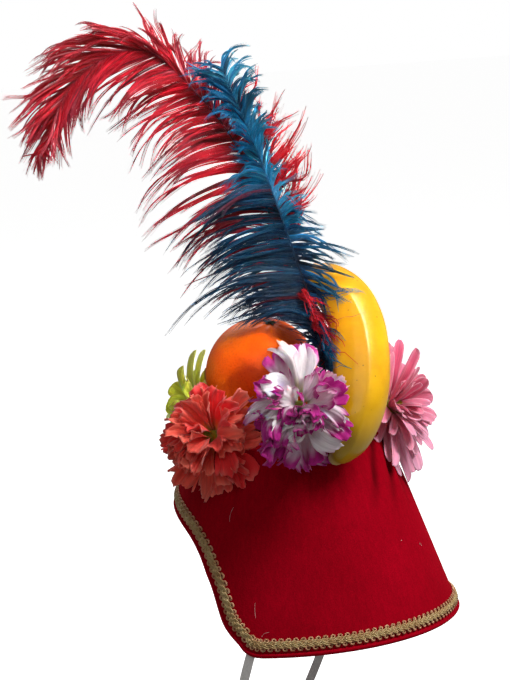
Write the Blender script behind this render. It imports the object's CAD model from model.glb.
import math
import random

import bpy
import numpy as np
from mathutils import Matrix, Vector


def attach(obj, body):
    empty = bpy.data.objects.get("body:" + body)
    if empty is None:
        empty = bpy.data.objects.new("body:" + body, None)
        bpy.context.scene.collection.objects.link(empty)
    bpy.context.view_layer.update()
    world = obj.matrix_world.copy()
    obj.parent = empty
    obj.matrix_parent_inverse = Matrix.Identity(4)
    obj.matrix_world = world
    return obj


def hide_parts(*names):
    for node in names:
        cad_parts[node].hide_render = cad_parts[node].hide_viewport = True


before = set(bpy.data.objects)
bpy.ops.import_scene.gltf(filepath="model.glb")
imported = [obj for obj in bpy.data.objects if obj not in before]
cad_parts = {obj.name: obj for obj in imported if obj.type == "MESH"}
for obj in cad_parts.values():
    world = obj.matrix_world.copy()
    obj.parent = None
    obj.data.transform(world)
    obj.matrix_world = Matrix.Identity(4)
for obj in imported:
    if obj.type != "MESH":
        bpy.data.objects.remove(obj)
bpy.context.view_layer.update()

up = np.array((0.0, 0.0, 1.0))


# camera at the photograph's angle: the hat's left side, a little from behind

cameraSet = {
    "target": (0.0056, -0.0153, 0.1849),
    "distance": 1.5,
    "azimuth": 110.0,
    "elevation": 7.5,
    "roll": 4.4,  # the head is tipped, so the hat leans in the picture
    "lens": 122.2,
}


def makeCamera(s):
    a, e = math.radians(s["azimuth"]), math.radians(s["elevation"])
    back = Vector((math.sin(a) * math.cos(e), -math.cos(a) * math.cos(e), math.sin(e)))
    camera = bpy.data.objects.new("camera", bpy.data.cameras.new("camera"))
    camera.data.lens = s["lens"]
    camera.location = Vector(s["target"]) + back * s["distance"]
    camera.rotation_mode = "QUATERNION"
    turn = Matrix.Rotation(math.radians(-s["roll"]), 3, "Z")
    camera.rotation_quaternion = ((-back).to_track_quat("-Z", "Y").to_matrix() @ turn).to_quaternion()
    bpy.context.scene.collection.objects.link(camera)
    bpy.context.scene.camera = camera
    return back


toCamera = makeCamera(cameraSet)
print("camera placed")


# helpers for meshes and materials


def toLinear(hexColour):
    channels = [int(hexColour[i : i + 2], 16) / 255 for i in (1, 3, 5)]
    return [c / 12.92 if c <= 0.04045 else ((c + 0.055) / 1.055) ** 2.4 for c in channels] + [1.0]


def addNode(tree, kind, settings=(), links=()):
    # names of sockets and of node settings both go in settings; numbers are socket positions
    node = tree.nodes.new("ShaderNode" + kind)
    for name, value in dict(settings).items():
        if name == "stops":
            for extra in range(len(value) - 2):
                node.color_ramp.elements.new(0.5)
            for element, (place, colour) in zip(node.color_ramp.elements, value):
                element.position = place
                element.color = toLinear(colour)
        elif isinstance(name, int) or name in node.inputs:
            node.inputs[name].default_value = value
        else:
            setattr(node, name, value)
    for name, source in dict(links).items():
        tree.links.new(source.outputs[0] if hasattr(source, "outputs") else source, node.inputs[name])
    return node


def newMaterial(name, **sockets):
    material = bpy.data.materials.new(name)
    material.use_nodes = True
    tree = material.node_tree
    shader = tree.nodes["Principled BSDF"]
    for socket, value in sockets.items():
        shader.inputs[socket.replace("_", " ")].default_value = value
    return material, tree, shader


class Pile:
    # vertices and faces gathered for one object, with a colour and a place on the thread for each vertex
    def __init__(self):
        self.points, self.faces, self.slots, self.tints, self.lays = [], [], [], [], []
        self.count = 0

    def add(self, points, faces, tint=(1, 1, 1), lay=(0, 0, 0), slot=0):
        points = np.asarray(points, dtype=float)
        self.points.append(points)
        self.faces.extend([[corner + self.count for corner in face] for face in faces])
        self.slots.append(np.full(len(faces), slot))
        self.tints.append(np.broadcast_to(np.asarray(tint, dtype=float), (len(points), 3)))
        self.lays.append(np.broadcast_to(np.asarray(lay, dtype=float), (len(points), 3)))
        self.count += len(points)


def makePiece(name, pile, materials, node=None, wall=0.0, smooth=True):
    mesh = bpy.data.meshes.new(name)
    mesh.from_pydata(np.concatenate(pile.points).tolist(), [], pile.faces)
    tints = np.concatenate(pile.tints)
    tint = mesh.color_attributes.new("tint", "FLOAT_COLOR", "POINT")
    tint.data.foreach_set("color", np.column_stack((tints, np.ones(len(tints)))).ravel())
    lay = mesh.attributes.new("lay", "FLOAT_VECTOR", "POINT")
    lay.data.foreach_set("vector", np.concatenate(pile.lays).ravel())
    mesh.polygons.foreach_set("material_index", np.concatenate(pile.slots).astype(np.int32))
    for material in materials:
        mesh.materials.append(material)
    if smooth:
        mesh.shade_smooth()
    mesh.update()
    piece = bpy.data.objects.new(name, mesh)
    bpy.context.scene.collection.objects.link(piece)
    if wall:
        thick = piece.modifiers.new("cloth thickness", "SOLIDIFY")
        thick.thickness, thick.offset = wall, 0.0
    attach(piece, "root")
    if node:
        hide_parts(node)
    print("made", name, len(pile.faces), "faces")
    return piece


def gridFaces(rows, columns, closeRows=False, closeColumns=False):
    i, j = np.meshgrid(
        np.arange(rows if closeRows else rows - 1), np.arange(columns if closeColumns else columns - 1), indexing="ij"
    )
    k, m = (i + 1) % rows, (j + 1) % columns
    return np.stack((i * columns + j, i * columns + m, k * columns + m, k * columns + j), axis=-1).reshape(-1, 4).tolist()


def unit(vectors):
    vectors = np.asarray(vectors, dtype=float)
    return vectors / np.maximum(np.linalg.norm(vectors, axis=-1, keepdims=True), 1e-12)


def smoothRoute(points, count):
    # evenly spaced points along a Catmull-Rom curve
    p = np.asarray(points, dtype=float)
    p = np.vstack((2 * p[0] - p[1], p, 2 * p[-1] - p[-2]))
    a, b, c, d = (p[k : len(p) - 3 + k, None, :] for k in range(4))
    t = np.linspace(0, 1, 16, endpoint=False)[None, :, None]
    fine = b + ((c - a) * t + (a * 2 - b * 5 + c * 4 - d) * t**2 + (b * 3 - a - c * 3 + d) * t**3) / 2
    fine = np.vstack((fine.reshape(-1, p.shape[1]), p[-2]))
    run = np.concatenate(([0], np.cumsum(np.linalg.norm(np.diff(fine, axis=0), axis=1))))
    want = np.linspace(0, run[-1], count + 1)
    return np.column_stack([np.interp(want, run, fine[:, k]) for k in range(p.shape[1])])


def tube(centres, radii, normals, sides, closed=False):
    # a tube round a line, its ring turned to the given normals
    centres = np.asarray(centres)
    if closed:
        along = unit(np.roll(centres, -1, axis=0) - np.roll(centres, 1, axis=0))
    else:
        along = unit(np.gradient(centres, axis=0))
    side = unit(np.cross(along, normals))
    out = np.cross(side, along)
    angle = np.linspace(0, 2 * math.pi, sides, endpoint=False)[None, :, None]
    radii = np.broadcast_to(np.asarray(radii, dtype=float), len(centres))[:, None, None]
    ring = centres[:, None, :] + radii * (np.cos(angle) * out[:, None, :] + np.sin(angle) * side[:, None, :])
    faces = gridFaces(len(centres), sides, closed, True)
    if not closed:
        faces += [list(range(sides)), list(range(len(centres) * sides - 1, (len(centres) - 1) * sides - 1, -1))]
    return ring.reshape(-1, 3), faces


# chin strap: a flat knitted elastic that hangs from the ear points round under the chin

strapSet = {
    "width": 0.006,
    "thickness": 0.001,
    "drop": 0.118,
    "lean": math.radians(20),
    "seam": 0.016,
    "ribs": 7,
}

hat = {
    "rimRadius": 0.104,
    "tipRadius": 0.063,
    "height": 0.123,
    "wall": 0.0026,
    "archHeight": 0.084,
    "archHalfAngle": math.radians(91),
    "gap": 0.0003,
}
slope = math.atan2(hat["rimRadius"] - hat["tipRadius"], hat["height"])

elastic, tree, shader = newMaterial(
    "knitted polyester and rubber elastic", Roughness=0.55, Specular_IOR_Level=0.4, Sheen_Weight=0.2
)  # grey-white, a little see-through, with fine lengthwise ribs
lay = addNode(tree, "Attribute", {"attribute_name": "lay"})
layParts = addNode(tree, "SeparateXYZ", links={0: lay.outputs["Vector"]})
knitWave = addNode(tree, "Math", {"operation": "MULTIPLY", 1: 2 * math.pi / 0.0009}, {0: layParts.outputs[0]})
knit = addNode(tree, "Math", {"operation": "SINE"}, {0: knitWave})  # stitches 0.9 mm apart along the band
grime = addNode(tree, "TexNoise", {"Scale": 90.0, "Detail": 3.0})
shade = addNode(tree, "ValToRGB", {"stops": ((0.3, "#e2deda"), (0.75, "#f8f5f1"))}, {0: grime})
tree.links.new(shade.outputs[0], shader.inputs["Base Color"])
bump = addNode(tree, "Bump", {"Strength": 0.35, "Distance": 0.0002}, {"Height": knit})
tree.links.new(bump.outputs[0], shader.inputs["Normal"])


def strapRoute(s):
    seam = []
    for height in (s["seam"], s["seam"] / 2, 0.0):
        wall = hat["rimRadius"] - hat["wall"] / math.cos(slope) - height * math.cos(s["lean"]) * math.tan(slope)
        edge = height * math.sin(s["lean"]) + s["width"] / 2
        inside = math.sqrt(wall**2 - edge**2) - (hat["gap"] + s["thickness"] / 2) / math.cos(slope)
        seam.append((inside, height))
    turns = np.linspace(0, math.pi, 41)
    loop = smoothRoute(np.column_stack((inside * np.cos(turns), -s["drop"] * np.sin(turns))), 42)
    flat = np.vstack((seam[:-1], loop, [(-x, y) for x, y in reversed(seam[:-1])]))
    stand = math.pi / 2 - s["lean"]
    return np.column_stack((flat[:, 0], flat[:, 1] * math.cos(stand), flat[:, 1] * math.sin(stand)))


def makeStrap(s):
    route = strapRoute(s)
    length = float(np.linalg.norm(np.diff(route, axis=0), axis=1).sum())
    fine = smoothRoute(route, 240)
    along = unit(np.gradient(fine, axis=0))
    stand = math.pi / 2 - s["lean"]
    across = np.array((0.0, -math.sin(stand), math.cos(stand)))  # the band's width stands square to its loop
    out = unit(np.cross(along, across))
    half, deep = s["width"] / 2, s["thickness"] / 2
    share = np.linspace(-1, 1, s["ribs"] * 4 + 1)
    rib = 0.62 + 0.38 * np.abs(np.cos(share * math.pi * s["ribs"] / 2))
    rib[[0, -1]] = 0.3
    face = np.column_stack((share * half, rib * deep))
    section = np.vstack((face, face[::-1] * (1, -1)))
    points = fine[:, None, :] + section[None, :, :1] * across + section[None, :, 1:] * out[:, None, :]
    count = len(section)
    faces = gridFaces(len(fine), count, False, True)
    faces += [list(range(count)), list(range(len(fine) * count - 1, (len(fine) - 1) * count - 1, -1))]
    run = np.linspace(0, length, len(fine))
    lay = np.zeros((len(fine), count, 3))
    lay[:, :, 0] = run[:, None]
    pile = Pile()
    pile.add(points.reshape(-1, 3), faces, lay=lay.reshape(-1, 3))
    strap = makePiece("elastic chin strap", pile, [elastic], "chin_strap")
    strap.name = "chinStrap"


makeStrap(strapSet)


# crown: stiffened buckram covered with velvet, its lower edge arched over the face

crownSet = {
    "edgeStep": 0.0025,
    "rows": 46,
    "hem": ((4.4, 0.0), (3.6, -0.15), (3.05, -0.4), (2.8, -0.1), (2.55, 0.6), (2.05, 1.15), (1.4, 1.3), (0.8, 1.05),
            (0.3, 0.5), (0.0, -0.4), (0.0, -1.6), (0.25, -2.3), (0.8, -2.6)),  # millimetres up and out: a rolled edge
    "pleats": ((0.438, 0.0085, 1.0), (0.456, 0.008, -0.7), (0.482, 0.0085, 1.1), (0.502, 0.008, -0.7),
               (0.524, 0.009, 1.0), (0.548, 0.008, 0.6)),
    "pleatSlant": 0.12,
    "pleatDeep": 0.0011,
    "naps": 0.05,
    "pile": 0.0009,
}

arch = (
    (0.000, 1.000), (0.204, 0.977), (0.438, 0.906), (0.599, 0.810), (0.693, 0.695), (0.757, 0.563), (0.802, 0.456),
    (0.864, 0.251), (0.902, 0.164), (0.945, 0.092), (0.975, 0.036), (1.020, 0.004), (1.080, 0.000),
)  # the lower edge from the front to the ear: shares of the arch's half angle and of its height

dents = (
    (0.545, 0.86, 0.10, 0.022, 0.60),
    (0.515, 0.74, 0.08, 0.016, 0.40),
    (0.330, 0.70, 0.14, 0.030, 0.35),
    (-0.300, 0.62, 0.16, 0.040, 0.35),
)  # turn from the front, height and half height as shares of the hat's, half width in turns, share of the wall


def onCone(angle, height, out=0.0):
    radius = hat["rimRadius"] - height * math.tan(slope) + out * math.cos(slope)
    return np.stack((radius * np.sin(angle), -radius * np.cos(angle), height + out * math.sin(slope)), axis=-1)


def conePlace(points):
    radius = np.hypot(points[..., 0], points[..., 1])
    slant = (hat["rimRadius"] - radius) * math.sin(slope) + points[..., 2] * math.cos(slope)
    return np.arctan2(points[..., 0], -points[..., 1]) % (2 * math.pi), slant * math.cos(slope)


def lowerEdge(step):
    shares = np.array(arch)
    half = onCone(shares[:, 0] * hat["archHalfAngle"], shares[:, 1] * hat["archHeight"])
    backFrom = arch[-1][0] * hat["archHalfAngle"]
    half = np.vstack((half, onCone(np.linspace(backFrom, math.pi, 13)[1:], np.zeros(12))))
    length = np.linalg.norm(np.diff(half, axis=0), axis=1).sum()
    half = smoothRoute(half, round(length / step))
    return np.vstack((half, half[-2:0:-1] * (-1, 1, 1)))


def edgePlaces(edge, rise):
    along = unit(np.roll(edge, -1, axis=0) - np.roll(edge, 1, axis=0))
    normal = unit(edge * (1, 1, 0)) * math.cos(slope) + up * math.sin(slope)
    return conePlace(edge + np.cross(normal, along) * rise)


def dentDepth(angle, height):
    depth = np.zeros_like(angle)
    for turn, middle, halfHeight, halfWidth, share in dents:
        across = ((angle / (2 * math.pi) - turn + 0.5) % 1.0 - 0.5) / halfWidth
        depth += share * hat["wall"] * np.exp(-(across**2) - ((height / hat["height"] - middle) / halfHeight) ** 2)
    return depth


def pleatDepth(angle, height):
    # soft upright folds where the velvet is drawn in to the tip
    depth = np.zeros_like(angle)
    share = height / hat["height"]
    fade = np.clip((share - 0.56) / 0.24, 0, 1) ** 1.3
    for turn, width, deep in crownSet["pleats"]:
        middle = turn + (share - 0.78) * crownSet["pleatSlant"]
        across = ((angle / (2 * math.pi) - middle + 0.5) % 1.0 - 0.5) / width
        depth += deep * crownSet["pleatDeep"] * np.exp(-(across**2)) * fade
    return depth + 0.00012 * np.sin(angle * 46) * fade


velvet, tree, shader = newMaterial(
    "short pile polyester velvet", Roughness=0.9, Specular_IOR_Level=0.03, Sheen_Weight=0.16, Sheen_Roughness=0.35,
    Sheen_Tint=toLinear("#e8141e")
)  # deep red that glows where the pile stands and goes maroon in the shade
place = addNode(tree, "TexCoord")
nap = addNode(
    tree, "TexNoise", {"Scale": 1 / crownSet["naps"], "Detail": 4.0, "Roughness": 0.55}, {0: place.outputs["Object"]}
)
strokes = addNode(tree, "Mapping", {"Scale": (1.0, 1.0, 0.18)}, {0: place.outputs["Object"]})
brushed = addNode(tree, "TexNoise", {"Scale": 420.0, "Detail": 2.0}, {0: strokes})
pile = addNode(tree, "TexNoise", {"Scale": 1 / crownSet["pile"], "Detail": 2.0}, {0: place.outputs["Object"]})
mottle = addNode(tree, "ValToRGB", {"stops": ((0.30, "#a00016"), (0.72, "#b4001c"))}, {0: nap})
grain = addNode(tree, "ValToRGB", {"stops": ((0.25, "#c8c8c8"), (0.75, "#ffffff"))}, {0: pile})
grained = addNode(tree, "Mix", {"data_type": "RGBA", "blend_type": "MULTIPLY", 0: 0.6}, {6: mottle, 7: grain})
lines = addNode(tree, "ValToRGB", {"stops": ((0.30, "#d9d9d9"), (0.70, "#ffffff"))}, {0: brushed})
napped = addNode(
    tree, "Mix", {"data_type": "RGBA", "blend_type": "MULTIPLY", 0: 0.5}, {6: grained.outputs[2], 7: lines}
)
tint = addNode(tree, "VertexColor", {"layer_name": "tint"})
creased = addNode(
    tree, "Mix", {"data_type": "RGBA", "blend_type": "MULTIPLY", 0: 1.0}, {6: napped.outputs[2], 7: tint}
)
tree.links.new(creased.outputs[2], shader.inputs["Base Color"])
height = addNode(tree, "Math", {"operation": "ADD"}, {0: pile, 1: brushed})
bump = addNode(tree, "Bump", {"Strength": 0.35, "Distance": 0.0004}, {"Height": height})
tree.links.new(bump.outputs[0], shader.inputs["Normal"])

lining, tree, shader = newMaterial(
    "brushed cotton lining", Roughness=0.95, Specular_IOR_Level=0.1
)  # dull dark red inside the hat, with a plain weave 0.6 mm apart
place = addNode(tree, "TexCoord")
warp = addNode(tree, "TexWave", {"Scale": 260.0, "bands_direction": "Z", "Distortion": 0.6}, {0: place.outputs["Object"]})
fuzz = addNode(tree, "TexNoise", {"Scale": 700.0, "Detail": 2.0}, {0: place.outputs["Object"]})
cloth = addNode(tree, "Math", {"operation": "ADD"}, {0: warp.outputs[1], 1: fuzz})
tone = addNode(tree, "ValToRGB", {"stops": ((0.2, "#5c0a12"), (0.8, "#7c1019"))}, {0: fuzz})
tree.links.new(tone.outputs[0], shader.inputs["Base Color"])
bump = addNode(tree, "Bump", {"Strength": 0.3, "Distance": 0.0003}, {"Height": cloth})
tree.links.new(bump.outputs[0], shader.inputs["Normal"])

lint, tree, shader = newMaterial(
    "white lint fibre", Roughness=0.7
)  # a few pale fibres that cling to the pile
place = addNode(tree, "TexCoord")
spots = addNode(tree, "TexNoise", {"Scale": 900.0}, {0: place.outputs["Object"]})
pale = addNode(tree, "ValToRGB", {"stops": ((0.3, "#c98a86"), (0.7, "#f3e6e0"))}, {0: spots})
tree.links.new(pale.outputs[0], shader.inputs["Base Color"])


def makeCrown(s):
    edge = lowerEdge(s["edgeStep"])
    hem = [(edgePlaces(edge, rise / 1000), out / 1000) for rise, out in s["hem"]]
    columns = [onCone(*place, out) for place, out in hem]
    (aboveAngle, aboveHeight), _ = hem[0]
    lowAngle = edgePlaces(edge, 0.0)[0]
    lowAngle = aboveAngle + (lowAngle - aboveAngle + math.pi) % (2 * math.pi) - math.pi
    wallRows = []
    for t in np.linspace(0, 1, s["rows"] + 1)[1:]:
        angle, height = aboveAngle + (lowAngle - aboveAngle) * t, aboveHeight + (hat["height"] - aboveHeight) * t
        wallRows.append((angle, height, -dentDepth(angle, height) - pleatDepth(angle, height)))
    lip = [(0.0, 0.0), (0.35, 0.45), (0.5, 1.3), (0.35, 2.15), (0.0, 2.6)]  # the rounded top edge, millimetres
    outer = [onCone(a, h - (0.0008 if k == s["rows"] - 1 else 0), out) for k, (a, h, out) in enumerate(wallRows)]
    angle = wallRows[-1][0]
    over = [
        onCone(angle, np.full_like(angle, hat["height"] - 0.0005 + rise / 1000), -inward / 1000 + wallRows[-1][2])
        for rise, inward in lip
    ]
    inner = [onCone(a, h, -hat["wall"] - dentDepth(a, h)) for a, h, _ in reversed(wallRows[::3])]
    rings = np.stack(columns[::-1] + outer + over + inner, axis=1)
    faces = gridFaces(rings.shape[0], rings.shape[1], True, True)
    start = len(columns) + len(outer) + len(over) - 1
    column = np.arange(len(faces)) % rings.shape[1]
    creases = np.zeros(rings.shape[:2])
    for k, (angle, height, _) in enumerate(wallRows):
        creases[:, len(columns) + k] = np.clip(pleatDepth(angle, height) / s["pleatDeep"], 0, 1)
    crushed = np.repeat(1 - 0.62 * creases.reshape(-1, 1), 3, axis=1)  # the pile lies dark in the folds
    pile = Pile()
    pile.add(rings.reshape(-1, 3), faces, tint=crushed)
    pile.slots = [np.where((column >= start) | (column == 0), 1, 0)]
    rng = random.Random(4)
    for turn, height, lengthMm, lean in (
        (0.2174, 0.0799, 9, 1.75), (0.2635, 0.0126, 5, 1.2), (0.2570, 0.0237, 9, 1.8), (0.4457, 0.0568, 1.5, 0.4),
        (0.4870, 0.0485, 2.5, 2.6), (0.4835, 0.0500, 1.5, 0.9), (0.79, 0.05, 4, 2.0), (0.66, 0.09, 2, 0.5),
    ):
        t = np.linspace(0, 1, 9)
        bend = rng.uniform(-0.8, 0.8)
        angle = turn * 2 * math.pi + lengthMm / 90 * np.cos(lean + bend * t) * t
        fibre = onCone(angle, height + lengthMm / 1000 * np.sin(lean + bend * t) * t, 0.0004 + 0.0008 * t * (1 - t))
        points, tubeFaces = tube(fibre, 0.00008, unit(fibre * (1, 1, 0)), 4)
        pile.add(points, tubeFaces, slot=2)
    makePiece("velvetCrown", pile, [velvet, lining, lint], "crown")


def makeTip():
    # the flat top: a velvet disc with a rounded edge, puckered a little where it is sewn in
    radius = hat["tipRadius"] - (hat["wall"] + hat["gap"]) / math.cos(slope) - 0.0011
    profile = [(0.0, 0.0), (0.3, 0.0), (0.6, 0.0), (0.8, 0.0), (0.92, -0.01), (0.97, -0.05), (0.99, -0.25), (1.0, -0.6),
               (1.008, -0.9), (0.99, -1.0), (0.8, -0.97), (0.4, -0.96), (0.0, -0.96)]
    angle = np.linspace(0, 2 * math.pi, 144, endpoint=False)[:, None]
    share, drop = np.array(profile).T
    pucker = 0.00025 * np.sin(angle * 18) * np.clip((share - 0.75) / 0.25, 0, 1) * (drop > -0.2)
    reach = share * radius
    points = np.stack(
        (reach * np.cos(angle), reach * np.sin(angle), hat["height"] - 0.0004 + drop * 0.0026 + pucker), axis=-1
    )
    pile = Pile()
    pile.add(points.reshape(-1, 3), gridFaces(len(angle), len(profile), True, False))
    makePiece("velvetTip", pile, [velvet], "crown_tip")


makeCrown(crownSet)
makeTip()


# gold gimp braid: a plait of paired cords with a row of picot loops on either side

braidSet = {
    "rise": 0.0037,
    "width": 0.0085,
    "loops": 140,  # round the whole edge, 4.7 mm apart
    "cord": 0.00060,
    "loopCord": 0.00062,
    "plaitHalf": 0.00145,
    "plaitLift": 0.00055,
    "loopReach": 0.00130,
    "loopSway": 0.00235,
    "plaitTint": "#eae0b8",
    "loopTint": "#ffd4c0",  # the loops' thread is pinker than the plait's
}

gimp, tree, shader = newMaterial(
    "gold lurex gimp cord", Metallic=0.15, Roughness=0.38, Specular_IOR_Level=0.6
)  # tan gold that glints where the foil thread wraps the cord
lay = addNode(tree, "Attribute", {"attribute_name": "lay"})
layParts = addNode(tree, "SeparateXYZ", links={0: lay.outputs["Vector"]})
turns = addNode(tree, "Math", {"operation": "MULTIPLY", 1: 2 * math.pi / 0.00055}, {0: layParts.outputs[0]})
wrap = addNode(tree, "Math", {"operation": "SINE"}, {0: turns})  # thread drawn 0.55 mm apart, coarser than real
wrapShare = addNode(tree, "MapRange", {"From Min": -1.0, "From Max": 1.0}, {0: wrap})
thread = addNode(tree, "ValToRGB", {"stops": ((0.12, "#8a6a3c"), (0.55, "#e2c48e"), (0.95, "#fff8e4"))}, {0: wrapShare})
place = addNode(tree, "TexCoord")
wear = addNode(tree, "TexNoise", {"Scale": 160.0, "Detail": 3.0}, {0: place.outputs["Object"]})
worn = addNode(tree, "ValToRGB", {"stops": ((0.35, "#d8b8a2"), (0.7, "#ffffff"))}, {0: wear})
gold = addNode(tree, "Mix", {"data_type": "RGBA", "blend_type": "MULTIPLY", 0: 0.8}, {6: thread, 7: worn})
tint = addNode(tree, "VertexColor", {"layer_name": "tint"})
toned = addNode(tree, "Mix", {"data_type": "RGBA", "blend_type": "MULTIPLY", 0: 1.0}, {6: gold.outputs[2], 7: tint})
tree.links.new(toned.outputs[2], shader.inputs["Base Color"])
bump = addNode(tree, "Bump", {"Strength": 0.6, "Distance": 0.00015}, {"Height": wrap})
tree.links.new(bump.outputs[0], shader.inputs["Normal"])


def makeBraid(s):
    edge = lowerEdge(0.0005)
    perimeter = float(np.linalg.norm(edge - np.roll(edge, 1, axis=0), axis=1).sum())
    alongEdge = unit(np.roll(edge, -1, axis=0) - np.roll(edge, 1, axis=0))

    def onBand(run, rise, out):
        # a point of the crown's face: run along the edge, rise above it, out off the face
        at = run / perimeter * len(edge)
        low = np.floor(at).astype(int)
        part = (at - low)[:, None]
        base = edge[low % len(edge)] * (1 - part) + edge[(low + 1) % len(edge)] * part
        along = unit(alongEdge[low % len(edge)] * (1 - part) + alongEdge[(low + 1) % len(edge)] * part)
        normal = unit(base * (1, 1, 0)) * math.cos(slope) + up * math.sin(slope)
        angle, height = conePlace(base + np.cross(normal, along) * rise[:, None])
        return onCone(angle, height, out), unit(onCone(angle, height, out + 0.001) - onCone(angle, height, out))

    pile = Pile()

    def lay(run, rise, out, radius, sides, colour):
        centres, normals = onBand(run, rise, out)
        points, faces = tube(centres, radius, normals, sides, closed=True)
        step = np.linalg.norm(centres - np.roll(centres, 1, axis=0), axis=1)
        lays = np.zeros((len(centres), sides, 3))
        lays[:, :, 0] = np.cumsum(step)[:, None]
        pile.add(points, faces, toLinear(colour)[:3], lays.reshape(-1, 3))

    pitch = perimeter / s["loops"]
    middle = s["rise"] + s["width"] / 2
    steps = s["loops"] * 6
    run = np.linspace(0, perimeter, steps, endpoint=False)
    for strand in range(3):
        phase = 2 * math.pi * (run / (3 * pitch) + strand / 3)
        across = s["plaitHalf"] * np.sin(phase)
        lift = 0.0012 + s["plaitLift"] * np.sin(2 * phase)
        for beside in (-1, 1):
            lay(run + beside * 0.0002, middle + across + beside * s["cord"] * 0.85, lift, s["cord"], 6, s["plaitTint"])
    steps = s["loops"] * 15
    run = np.linspace(0, perimeter, steps, endpoint=False)
    for way, half in ((1, 0.0), (-1, 0.5)):
        turn = 2 * math.pi * (run / pitch + half)
        centre = middle + way * (s["width"] / 2 - s["loopReach"] - s["loopCord"])
        lay(
            run - s["loopSway"] * np.sin(turn),
            centre + way * s["loopReach"] * np.cos(turn),
            0.0006 + 0.00035 * np.sin(turn),
            s["loopCord"],
            6,
            s["loopTint"],
        )
    makePiece("goldBraid", pile, [gimp], "gold_braid")


makeBraid(braidSet)


# the heap on the crown is laid out toward the left ear, toward the back and up, turned about the hat's axis

heapTurn = math.radians(20)
heapAxes = np.array(
    ((math.cos(heapTurn), math.sin(heapTurn), 0), (-math.sin(heapTurn), math.cos(heapTurn), 0), (0, 0, 1))
)


def toRow(points):
    return np.asarray(points) @ heapAxes


fruitSet = {
    "orangeRadius": 0.0374,
    "orangeMiddle": (-0.0126, -0.01342, 0.1607),
    "calyxLean": (0.264, 0.203, 0.943),
    "bananaLength": 0.185,
    "bananaRadius": 0.0187,
    "bananaSlide": (-0.0005, -0.00028, 0.0),
    "bananaTurn": math.radians(12),
}

bananaRows = (
    (0.016, 0.158, -0.038, 0.30), (0.030, 0.178, -0.018, 0.47), (0.038, 0.202, 0.021, 0.67),
    (0.032, 0.223, 0.073, 0.83), (0.002, 0.246, 0.142, 0.94), (-0.043, 0.261, 0.223, 0.99),
    (-0.092, 0.266, 0.305, 1.00), (-0.141, 0.261, 0.386, 0.98), (-0.189, 0.237, 0.458, 0.93),
    (-0.238, 0.195, 0.508, 0.81), (-0.276, 0.146, 0.539, 0.61), (-0.303, 0.103, 0.554, 0.38),
    (-0.319, 0.066, 0.562, 0.29),
)  # axis and radius from the free end to the stem: shares of the banana's length and radius

peel, tree, shader = newMaterial(
    "waxed orange peel", Roughness=0.48, Specular_IOR_Level=0.2, Coat_Weight=0.04, Coat_Roughness=0.3
)  # satin orange with oil pits that break up the highlight
place = addNode(tree, "TexCoord")
pits = addNode(tree, "TexVoronoi", {"Scale": 620.0, "feature": "SMOOTH_F1", "Smoothness": 0.6}, {0: place.outputs["Object"]})
roll = addNode(tree, "TexNoise", {"Scale": 140.0, "Detail": 3.0}, {0: place.outputs["Object"]})
blush = addNode(tree, "TexNoise", {"Scale": 26.0, "Detail": 3.0}, {0: place.outputs["Object"]})
skin = addNode(
    tree, "ValToRGB", {"stops": ((0.28, "#f24800"), (0.5, "#fc6200"), (0.75, "#ff7e08"))}, {0: blush}
)
pitTone = addNode(tree, "ValToRGB", {"stops": ((0.0, "#e0b8a0"), (0.45, "#ffffff"))}, {0: pits})
pitted = addNode(tree, "Mix", {"data_type": "RGBA", "blend_type": "MULTIPLY", 0: 0.55}, {6: skin, 7: pitTone})
tree.links.new(pitted.outputs[2], shader.inputs["Base Color"])
height = addNode(tree, "Math", {"operation": "MULTIPLY_ADD", 1: 0.6}, {0: roll, 2: pits})
bump = addNode(tree, "Bump", {"Strength": 0.42, "Distance": 0.0006}, {"Height": height})
tree.links.new(bump.outputs[0], shader.inputs["Normal"])

calyxGreen, tree, shader = newMaterial(
    "dried orange calyx", Roughness=0.75
)  # dark green to brown, wrinkled
place = addNode(tree, "TexCoord")
wrinkle = addNode(tree, "TexNoise", {"Scale": 900.0, "Detail": 4.0}, {0: place.outputs["Object"]})
tone = addNode(tree, "ValToRGB", {"stops": ((0.3, "#1b2410"), (0.7, "#47521f"))}, {0: wrinkle})
tree.links.new(tone.outputs[0], shader.inputs["Base Color"])
bump = addNode(tree, "Bump", {"Strength": 0.6, "Distance": 0.0004}, {"Height": wrinkle})
tree.links.new(bump.outputs[0], shader.inputs["Normal"])

skinYellow, tree, shader = newMaterial(
    "lacquered banana skin", Roughness=0.36, Specular_IOR_Level=0.3, Coat_Weight=0.5, Coat_Roughness=0.05
)  # bright glossy yellow, so each ridge carries a thin white line
place = addNode(tree, "TexCoord")
tint = addNode(tree, "VertexColor", {"layer_name": "tint"})
flow = addNode(tree, "TexNoise", {"Scale": 55.0, "Detail": 4.0}, {0: place.outputs["Object"]})
flowTone = addNode(tree, "ValToRGB", {"stops": ((0.3, "#e8dcc0"), (0.7, "#ffffff"))}, {0: flow})
ripe = addNode(tree, "Mix", {"data_type": "RGBA", "blend_type": "MULTIPLY", 0: 0.7}, {6: tint, 7: flowTone})
speckSize = addNode(tree, "TexVoronoi", {"Scale": 190.0, "Randomness": 1.0}, {0: place.outputs["Object"]})
speckMask = addNode(tree, "MapRange", {"From Min": 0.13, "From Max": 0.05}, {0: speckSize.outputs["Distance"]})
speckWhere = addNode(tree, "TexNoise", {"Scale": 60.0}, {0: place.outputs["Object"]})
speckSome = addNode(tree, "MapRange", {"From Min": 0.50, "From Max": 0.62}, {0: speckWhere})
speck = addNode(tree, "Math", {"operation": "MULTIPLY"}, {0: speckMask, 1: speckSome})
freckled = addNode(tree, "Mix", {"data_type": "RGBA", 7: toLinear("#7a4a10")}, {0: speck, 6: ripe.outputs[2]})
tree.links.new(freckled.outputs[2], shader.inputs["Base Color"])
bump = addNode(tree, "Bump", {"Strength": 0.12, "Distance": 0.0006}, {"Height": flow})
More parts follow.
